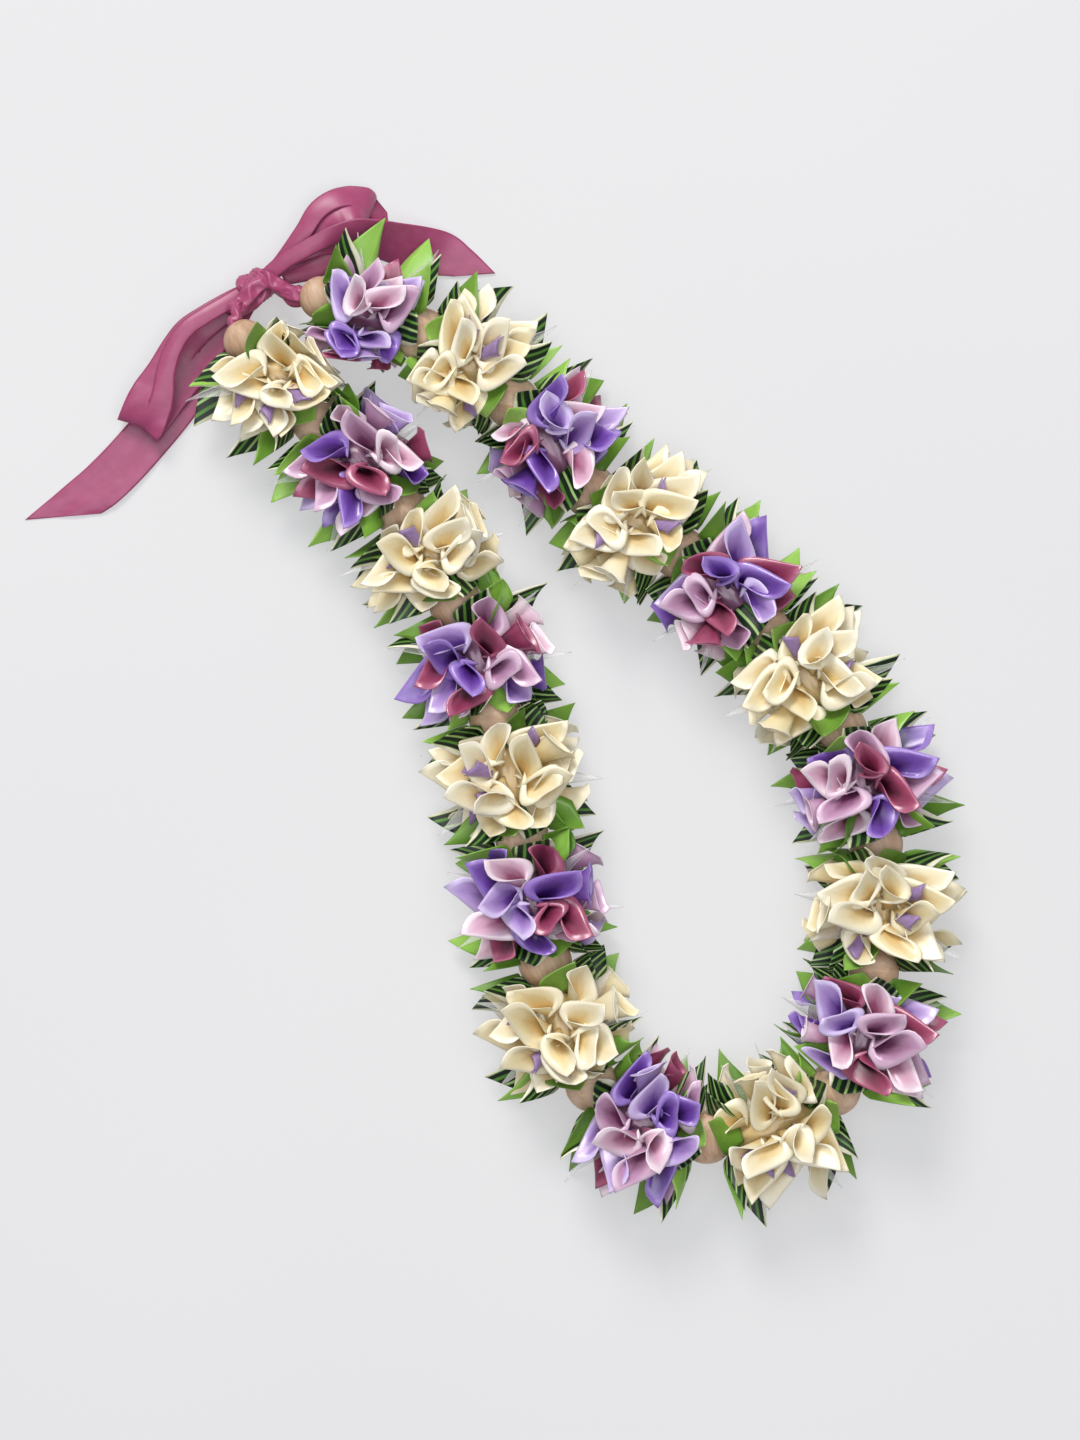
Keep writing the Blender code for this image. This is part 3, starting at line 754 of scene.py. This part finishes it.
rolls = 0
for number, (cluster, spots) in enumerate(zip(clusters, flower_spots), start=1):
    grids = []
    for place, turn, lean, length in SPIKES:
        turn += play(-8, 8)
        if turn > LOW_DOWN:
            turn -= cluster.lift
        axes = rolled(direction(turn, lean + play(-6, 6)), play(-50, 50))
        root = root_of(axes[0], PETAL_ROOT_DEPTH, place * MM)
        rows = spike_rows(length * MM * play(0.88, 1.06), play(6, 9) * MM,
                          play(-3, 3) * MM, play(0, 50))
        grids.append((laid_out(rows, cluster, root, axes), 0))
    if number % 2:
        for k in ROLL_PLACES[number % 3]:
            spot = spots[k]
            root = spot.root + spot.axes[2] * 1.2 * MM
            rows = sheer_roll(6 * MM, play(16.5, 19.5) * MM, play(3.9, 4.7) * MM)
            grids.append((laid_out(rows, cluster, root, spot.axes), 1))
            rolls += 1
    ribbon_object(f"sheer_ribbon_{number:02d}", grids, SHEER, "cream_satin", thickness=SHEER_CLOTH)
print("spikes:", len(SPIKES) * len(clusters), "rolls:", rolls)

# %% [markdown]
# ## Ribbon leaves
# The leaves are cut from green ribbon, plain or striped, slanting to a long point, and caught in the
# knots at both ends of a cluster. Each one is a flat strip that is folded, cupped and twisted by small
# amounts. The stripes follow the UV map, so a slanting cut crosses them as it does on real ribbon.

# %% Leaf finishes
LEAF_FLAT = (14, 40, 1)
LEAF_STITCHES = (44, 0.965, 0.02)


def leaf_satin(name, stops, edge, roughness):
    """Green ribbon, its colours across its width given as ramp stops, with a stitched edge."""
    material, tree, shader, _, spot, made = fabric(name, roughness, 0.15, "dff0c8", LEAF_FLAT, 0.35)
    frayed = times(tree, maths(tree, "SUBTRACT", made["Streaks"], 0.5), 0.03)
    across = maths(tree, "ADD", spot["X"], frayed)
    colour = tinted(tree, ramp(tree, across, stops), made, 0.88, 1.12)
    feed(tree, shader, {"Base Color": stitched(tree, colour, edge, 0.7, spot["Y"], spot["X"],
                                               *LEAF_STITCHES)})
    return material


STRIPES = ((0, "35601f"), (0.06, "35601f"), (0.08, "b0cc88"), (0.12, "bcd694"), (0.14, "0f2412"),
           (0.25, "0d1f0f"), (0.27, "5a8c38"), (0.32, "659842"), (0.34, "10260f"), (0.46, "0d2110"),
           (0.48, "9cbf74"), (0.53, "a6c880"), (0.55, "0d2110"), (0.67, "10280f"), (0.69, "50822f"),
           (0.75, "5c8e3a"), (0.77, "0d1f0f"), (0.86, "0d2110"), (0.88, "c2d6a2"), (0.91, "efe9cd"),
           (1, "f3eed8"))
LEAF_FINISHES = [
    leaf_satin("green_satin", ((0, "5a862a"), (0.5, "689632"), (1, "78a43c")), "a4c66c", 0.38),
    leaf_satin("striped_ribbon", STRIPES, "ffffff", 0.46),
    leaf_satin("light_green_satin", ((0, "7cae40"), (0.5, "8cbe4e"), (1, "9ccb5c")), "bcdc8c", 0.36),
]
print("leaf finishes:", [m.name for m in LEAF_FINISHES])

# %% The shape of one leaf
LEAF_LENGTH = 39 * MM
LEAF_HALF_WIDTH = 9.2 * MM
LEAF_ROOT_DEPTH = 3.6 * MM
LEAF_INSET = 1.1 * MM
SLEEVE_TRIM = 0.4 * MM
BEND_INSET = 2.2 * MM
LEAF_KINDS = (0, 1, 2, 1, 0, 1, 2, 1)
LEAF_ROWS, LEAF_COLUMNS = 14, 6
# Half the root's width, and how far along the leaf its edges are widest and its slanting cut starts. The
# last is the tip's place across it.
ROOT_SHARE, WIDEST_LOW, WIDEST_HIGH, SLANT_FROM, TIP = 0.46, 0.42, 0.3, 0.56, 0.8


def leaf_rows(length, half_width, side, cup, twist, droop, wobble):
    """A cut leaf in its own axes, its end slanting to a point."""
    def spot(a, across):
        cut = max(0, (a - SLANT_FROM) / (1 - SLANT_FROM))
        low = between(min(1, a / WIDEST_LOW), -ROOT_SHARE, -1) + (TIP + 0.98) * cut ** 1.15
        high = between(min(1, a / WIDEST_HIGH), ROOT_SHARE, 1) - (1 - TIP) * cut
        b = between(across, low, high)
        y, swing = b * half_width * side, twist * a
        z = cup * half_width * (b * b - 0.4) * (0.5 + (1 - a) ** 2) + droop * length * a * a
        z += 0.8 * MM * noise.noise(Vector((3 * a, b, wobble)))
        place = Vector((a * length, y * cos(swing) - z * sin(swing), y * sin(swing) + z * cos(swing)))
        return place, 0.5 + 0.5 * b, a
    return grid_rows(LEAF_ROWS, LEAF_COLUMNS, spot)

# %% Leaves at both ends of every cluster
# End of the cluster, turn, lean away from square, roll, share of the full length.
LEAVES = (
    (1, 111, 10, 0, 1), (1, 94, 34, 0, 0.92), (1, -114, 8, 0, 0.94), (1, 22, 48, 90, 0.66),
    (-1, 112, 16, 0, 0.98), (-1, -112, 14, 0, 1),
    (1, 66, 46, 12, 0.86), (-1, 84, 42, -10, 0.94), (-1, 62, 40, 14, 0.88),
    (1, -84, 40, -10, 0.96), (-1, -80, 44, 12, 0.94), (1, -62, 50, -20, 0.84),
    (-1, -60, 44, 16, 0.86), (-1, -18, 60, 90, 0.66), (1, -34, 56, 76, 0.6),
)
BEAD_TOP = 50
TOP_ROOT = 8.5 * MM
FIRST_TOP_LEAF = 3
FIRST_LOOSE_LEAF = 6
SIDE_LEAF = 60

for number, cluster in enumerate(clusters, start=1):
    sleeve_end = cluster.half - SLEEVE_TRIM - BEND_INSET * max(abs(sin(t)) for t in cluster.turns)
    grids = []
    for k, (end, turn, lean, roll, share) in enumerate(LEAVES):
        if k >= FIRST_LOOSE_LEAF:
            turn += play(-10, 10)
            lean += play(-8, 8)
        if turn > SIDE_LEAF:
            turn -= cluster.lift
        bend = cluster.turns[1] if end > 0 else -cluster.turns[0]
        lean += min(0, degrees(bend) * sin(radians(turn)))
        axes = rolled(direction(turn, lean * end), roll + play(-12, 12))
        over_bead = abs(turn) < BEAD_TOP
        depth = TOP_ROOT if over_bead and k != FIRST_TOP_LEAF else LEAF_ROOT_DEPTH
        root = root_of(axes[0], depth, end * (sleeve_end - LEAF_INSET))
        side = 1 if turn * end > 0 else -1
        rows = leaf_rows(LEAF_LENGTH * share * play(0.95, 1.03), LEAF_HALF_WIDTH * play(0.94, 1.12),
                         side, play(-0.5, 0.7), play(-0.8, 0.8), play(-0.2, 0.26), play(0, 50))
        finish = LEAF_KINDS[(k * 3 + number * 5) % len(LEAF_KINDS)]
        grids.append((laid_out(rows, cluster, root, axes, LEAF_ROOM), finish))
    ribbon_object(f"ribbon_leaves_{number:02d}", grids, LEAF_FINISHES, "leaf_satin",
                  f"leaves_{number:02d}")
print("leaves:", len(LEAVES) * len(clusters))

# %% [markdown]
# ## The tie
# Rose satin ribbon runs through the whole lei, gathered to a cord, and the same ribbon is tied in a
# bow where the two ends meet. The gathered part is a pleated tube. The loops and tails are flat strips
# through stations that are repeated from the source, smoothed, with pleats that open away from the knot.

# %% Rose satin
# The tie ribbon has a fine woven line along both edges.
ROSE_FLAT = (22, 22, 1)
ROSE_STITCHES = (24, 0.95, 0.018)
ROSE, tree, shader, _, spot, made = fabric("rose_satin", 0.39, 0.12, "f2b8d0", ROSE_FLAT, 0.08, 0.55)
off_middle = times(tree, maths(tree, "ABSOLUTE", maths(tree, "SUBTRACT", spot["X"], 0.5)), 2)
base = ramp(tree, made["Clouds"], ((0.3, "9c4067"), (0.5, "a0446c"), (0.7, "a64973")))
colour = tinted(tree, base, made, 0.965, 1.035)
feed(tree, shader, {"Base Color": stitched(tree, colour, "6e2546", 0.4, spot["Y"], off_middle,
                                           *ROSE_STITCHES)})
print("tie finish:", ROSE.name)

# %% The gathered ribbon that everything is strung on
def smoothed(stations, steps):
    """A smooth curve through stations, every number of a station alike."""
    made = []
    last = len(stations) - 1
    for i in range(last):
        p0, p1 = stations[max(i - 1, 0)], stations[i]
        p2, p3 = stations[i + 1], stations[min(i + 2, last)]
        for k in range(steps):
            t = k / steps
            made.append(tuple(
                0.5 * (2 * b + (c - a) * t + (2 * a - 5 * b + 4 * c - d) * t * t
                       + (3 * b - a - 3 * c + d) * t ** 3) for a, b, c, d in zip(p0, p1, p2, p3)))
    made.append(tuple(stations[-1]))
    return made


LEFT_END = ((-106, 193.5, 13, 2.6), (-110.3, 189.6, 14.4, 2.8), (-113.6, 185.8, 15.4, 2.8),
            (-116.4, 183.2, 17, 2.6), (-118, 182.2, 19.6, 2.6), (-119, 180.9, 22, 2.4),
            (-118, 177, 24, 2))
RIGHT_END = ((-88, 188.6, 24, 2.2), (-91.3, 188.2, 22.4, 2.6), (-95, 189.4, 19.4, 2.8),
             (-98.6, 191.6, 16.4, 2.6), (-102, 193.6, 14.4, 2.8), (-106, 194.2, 13, 2.6))
CORD_RADIUS = 2 * MM
left, right = ([(*placed(x, y, z), r * MM) for x, y, z, r in way] for way in (LEFT_END, RIGHT_END))
middle = [(*spot, CORD_RADIUS) for a, b in joints for spot in (a, (a + b) / 2, b)]
strung = smoothed([*left, *middle, *right], 4)
cord_rows = pleated_tube([Vector(s[:3]) for s in strung], [s[3] for s in strung], 4, 0.09, 0.22)
print("gathered ribbon (mm):", round(sum((Vector(b[:3]) - Vector(a[:3])).length
                                         for a, b in zip(strung, strung[1:])) / MM))

# %% Pleats across the ribbon
RIBBON_WIDTH = 22
STEEP = 0.7
LAYER_COLUMNS = (10, 4, 10)
FOLD_STEP = 1
FULLEST_FOLD = 7.3
SHORTEST_LAYER = 1
FLATTENS_AT = 20.4
STRIP_STEPS = 8


def pleated_across(width):
    """(place on the ribbon, x, depth) in mm across a ribbon that one pleat narrows to width."""
    fold = max(0, min(FULLEST_FOLD, (RIBBON_WIDTH - width) / 2))
    layer_width = max(SHORTEST_LAYER, fold)
    edges = (0, (RIBBON_WIDTH - layer_width) / 2, (RIBBON_WIDTH + layer_width) / 2, RIBBON_WIDTH)
    turns = (0, (RIBBON_WIDTH - fold) / 2, (RIBBON_WIDTH - 3 * fold) / 2, RIBBON_WIDTH - 2 * fold)
    depths = (0, 0.5, 1.5, 2)
    deep = -FOLD_STEP * min(1, fold / 1.5)
    opened = max(0, min(1, (width - FLATTENS_AT) / (RIBBON_WIDTH - 0.2 - FLATTENS_AT)))
    spots = []
    for layer, columns in enumerate(LAYER_COLUMNS):
        for k in range(columns + (layer == 2)):
            t = k / columns
            bend = t ** 3 if layer == 0 else 1 - (1 - t) ** 3 if layer == 2 else t
            q = between(t, *edges[layer:layer + 2])
            x = between(t, *turns[layer:layer + 2]) - RIBBON_WIDTH / 2 + fold
            spots.append((q, between(opened, x, q - RIBBON_WIDTH / 2),
                          (1 - opened) * deep * between(bend, *depths[layer:layer + 2])))
    return spots

# %% A strip of ribbon through its stations
def strip_rows(stations, cup, swell, cut=0, wave=28, creased=False):
    """Rows of a ribbon through stations of x, y, z and width, and tilt and skew where it has them.
    The last `cut` stations are its end, cut to their width."""
    track = smoothed([(*station, 0, 0)[:6] for station in stations], STRIP_STEPS)
    places = [placed(*s[:3]) for s in track]
    last = len(track) - 1
    rows, travelled, before = [], 0, None
    for i, (_, _, _, width, tilt, skew) in enumerate(track):
        along = (places[min(i + 1, last)] - places[max(i - 1, 0)]).normalized()
        level = Vector((along.y, -along.x, 0))
        if before is not None:
            carried = before - along * before.dot(along)
            if level.length < STEEP:
                level = carried
            if level.dot(before) < 0:
                level = -level
            level = level.normalized() + carried.normalized()
        before = level.normalized()
        _, side, face = rolled((along, before, before.cross(along).normalized()), tilt)
        if i:
            travelled += (places[i] - places[i - 1]).length
        trimmed = i > last - cut * STRIP_STEPS
        row = []
        for q, x, deep in pleated_across(RIBBON_WIDTH if trimmed else width):
            if trimmed:
                x *= width / RIBBON_WIDTH
            high = deep + cup * (1 - (2 * x / width) ** 2)
            wavy = noise.noise(Vector((travelled / (wave * MM), q / (5 if creased else 9), 1.7)))
            high += swell * (0.3 - 2 * abs(wavy) if creased else wavy)
            place = places[i] + (side * x + along * (skew * x / width) + face * high) * MM
            row.append((place, q / RIBBON_WIDTH, travelled / (RIBBON_WIDTH * MM)))
        rows.append(row)
    return rows, travelled


def above_table(rows):
    """The same rows, with no point lower than the gap over the table."""
    return [[(Vector((p.x, p.y, max(p.z, TABLE_GAP))), u, v) for p, u, v in row] for row in rows]


def bow_piece(name, node_name, stations, cup, swell, cut=0):
    """One loop or tail as a sheet of ribbon, kept above the table."""
    rows, length = strip_rows(stations, cup, swell, cut)
    piece = ribbon_object(name, [(above_table(rows), 0)], [ROSE], "rose_satin", node_name)
    print(name, "ribbon length (mm):", round(length / MM))

# %% The tied pieces
# The gathered ribbon opens into a narrow band between the two end beads and the knot.
bands = (((-119.6, 180, 22.6, 7.4), (-118.2, 181.4, 20.6, 7.6), (-116.4, 183.2, 18.6, 8.6),
          (-113.6, 185.8, 18.2, 10.8), (-110.3, 189.6, 17.8, 11.6), (-107, 193, 16.8, 10.4),
          (-104, 194.6, 15.4, 8)),
         ((-108, 194.2, 15.6, 9.6), (-104.6, 194.8, 17.2, 9.4), (-101.2, 193.4, 18.2, 6.4),
          (-98.4, 191.6, 19.4, 5), (-95.6, 189.6, 21.4, 7.6), (-92.4, 187.6, 23.4, 10),
          (-89.2, 187.4, 24.6, 9.6)))
grids = [(cord_rows, 0)]
grids += [(strip_rows(band, 1.6, 1.7, wave=8, creased=True)[0], 0) for band in bands]
ribbon_object("gathered_ribbon", grids, [ROSE], "rose_satin", "stringing_ribbon")

bow_piece("bow_tail_right", "bow_knot_and_tails", (
    (-107, 193, 13, 7), (-104, 197.6, 16, 7), (-97, 203.4, 18.2, 7.4),
    (-89, 207.6, 19.4, 8.2, 4), (-80.2, 211.2, 19.6, 11, 14), (-72, 213.4, 18.6, 16, 30),
    (-64.3, 214.6, 16.6, 21, 40), (-53.8, 214.3, 12.8, 22, 42), (-43.9, 212.4, 8.8, 22, 32),
    (-26, 208.3, 2.6, 22, 8), (-18, 204.1, 1.3, 18, 0, -8), (-9.2, 198.7, 0.9, 11.5, 0, -15.7)),
    0.3, 0.5, cut=2)
bow_piece("bow_tail_left", "bow_knot_and_tails", (
    (-112, 188, 7, 8), (-119.5, 180, 4.4, 13), (-130, 165, 2.2, 21.9),
    (-149, 138, 1.6, 21.9, 2), (-167, 116.4, 1.9, 21.9, -3), (-180, 103, 1.6, 21.9, 3),
    (-190.5, 94.2, 1.3, 21, 2, 14), (-200.3, 86.5, 0.9, 19.4, 0, 29.7)),
    0, 1.1, cut=2)
bow_piece("bow_loop_ribbon_right", "bow_loop_right", (
    (-107.5, 193.5, 10, 7), (-101.5, 200, 10.6, 7.5), (-95.6, 206.6, 11.6, 8.6),
    (-86.4, 217, 13.6, 12, -6), (-79.4, 225.2, 15.2, 16, -14), (-71, 229.4, 15.4, 19.5, -24),
    (-62.4, 229.6, 12.4, 21.9, -30), (-57.8, 227, 7.4, 22, -22), (-60.5, 223.6, 4, 22, -8),
    (-67.5, 218.6, 2.4, 22), (-77.2, 210.6, 2.6, 20), (-86, 203.2, 4, 15), (-97.8, 197.2, 7.2, 8)),
    0.6, 0.7)
bow_piece("bow_loop_ribbon_left", "bow_loop_left", (
    (-109, 192, 12, 7), (-115.5, 189.5, 14, 8), (-123.5, 185.2, 15.6, 8.6),
    (-134, 179, 16.6, 8.8), (-142.6, 172.9, 17, 9.2), (-148.4, 165, 17.2, 10),
    (-153.2, 154.6, 17, 13), (-157.4, 143, 16, 20), (-162.4, 131, 12.4, 21.9, 0, 8),
    (-163.6, 128.4, 8, 21.9, 0, 8), (-160, 133.6, 4.6, 21.9, 0, 8), (-152, 145, 4, 21.9),
    (-143, 156, 4.2, 21.9), (-132.8, 168.5, 5, 19), (-122, 180, 6.6, 10)),
    0.6, 0.8)

# %% The two knots
def wrap(centre, axis, radii, width, slant, pleats, phase):
    """A pleated band drawn tight round a knot, leaning along its axis; sizes in mm."""
    centre, axis = placed(*centre), Vector(axis).normalized()
    side = axis.cross(Vector((0, 0, 1))).normalized()
    up = side.cross(axis)

    def spot(around, across):
        angle, b = 2 * pi * around, 2 * across - 1
        wave = sin(angle + phase)
        crease = abs(sin(pleats * pi / 2 * b + 0.7 * wave)) ** 0.5
        swell = 0.97 - 0.13 * b * b - 0.14 * b ** 8 + 0.085 * (crease - 0.7)
        swell += 0.14 * noise.noise(Vector((2 * cos(angle), 2 * sin(angle), 1.5 * b)))
        place = centre + axis * (b * width / 2 + slant * wave) * MM
        place += side * (radii[0] * MM * swell * cos(angle))
        place += up * (radii[1] * MM * swell * sin(angle))
        return place, across, 2.5 * around
    return above_table(grid_rows(36, 28, spot)), 0


# What wrap takes for each band: three round the large knot, two round the small one.
WRAPS = (((-109.6, 191.6, 8.8), (0.77, 0.64, 0), (6.6, 6.4), 17, 0, 9, 0.4),
         ((-113, 192, 10), (0.95, 0.25, 0.15), (6.4, 7.6), 9, 0.9, 6, 1.9),
         ((-108.2, 195, 9.8), (0.6, 0.8, 0.1), (6.2, 7), 8.5, 1.2, 5, 0.2),
         ((-118.4, 182, 19.6), (0.2, 0.5, 0.84), (4, 3.6), 4.6, 0.4, 2, 0),
         ((-118.4, 182, 19.6), (0.8, -0.4, 0.4), (3.8, 3.42), 3.6, 0.4, 2, 2))
knot = ribbon_object("bow_knot", [wrap(*band) for band in WRAPS], [ROSE], "rose_satin",
                     "bow_knot_and_tails")
print("faces in the knots:", len(knot.data.polygons))

# %% [markdown]
# ## Table, light and camera
# The lei lies on a plain pale table in soft light from above. One large lamp stands behind the top of
# the picture, so the faint shadows fall towards its foot, and a wide one hangs above. The table glows a
# little, like a light table under white glass, which keeps the shadows as faint as in the photograph.
# The camera looks straight down from 2.6 m.

# %% Table and light
bpy.ops.mesh.primitive_plane_add(size=6)
table = bpy.context.object
table.name = "table"
table_finish, paint, gloss_paint = new_finish("table_white", {
    "Roughness": 0.7, "Emission Color": linear("fdfdff"), "Emission Strength": 0.46})
flat_place = node(paint, "TexCoord")["Object"]
spread = node(paint, "TexNoise", {"Vector": flat_place, "Scale": 2})["Fac"]
feed(paint, gloss_paint, {"Base Color": ramp(paint, spread, ((0.3, "939394"), (0.7, "989898")))})
table.data.materials.append(table_finish)


def lamp(name, place, size, power, tint):
    """A square soft lamp aimed at the middle of the table."""
    light = bpy.data.lights.new(name, "AREA")
    light.size, light.energy, light.color = size, power, linear(tint)[:3]
    made = new_object(name, light)
    made.location = place
    made.rotation_euler = (-Vector(place)).to_track_quat("-Z", "Y").to_euler()


lamp("window_light", (-0.75, 2.6, 2.7), 1.5, 110, "fffdfa")
lamp("ceiling_light", (0.2, -0.1, 3.2), 2.6, 56, "f8faff")
world = bpy.data.worlds.new("room")
world.use_nodes = True
feed(world.node_tree, world.node_tree.nodes["Background"], {"Color": linear("f4f5f7"), "Strength": 0.22})
bpy.context.scene.world = world
bpy.context.scene.view_settings.view_transform = "Standard"

# %% Camera
CAMERA_HEIGHT = 2.6
lens = bpy.data.cameras.new("from_above")
lens.lens, lens.sensor_width = 140, 36
camera = new_object("from_above", lens)
camera.location = (0.0205, -0.0083, CAMERA_HEIGHT)
print("camera height (m):", CAMERA_HEIGHT)
bpy.context.scene.camera = camera
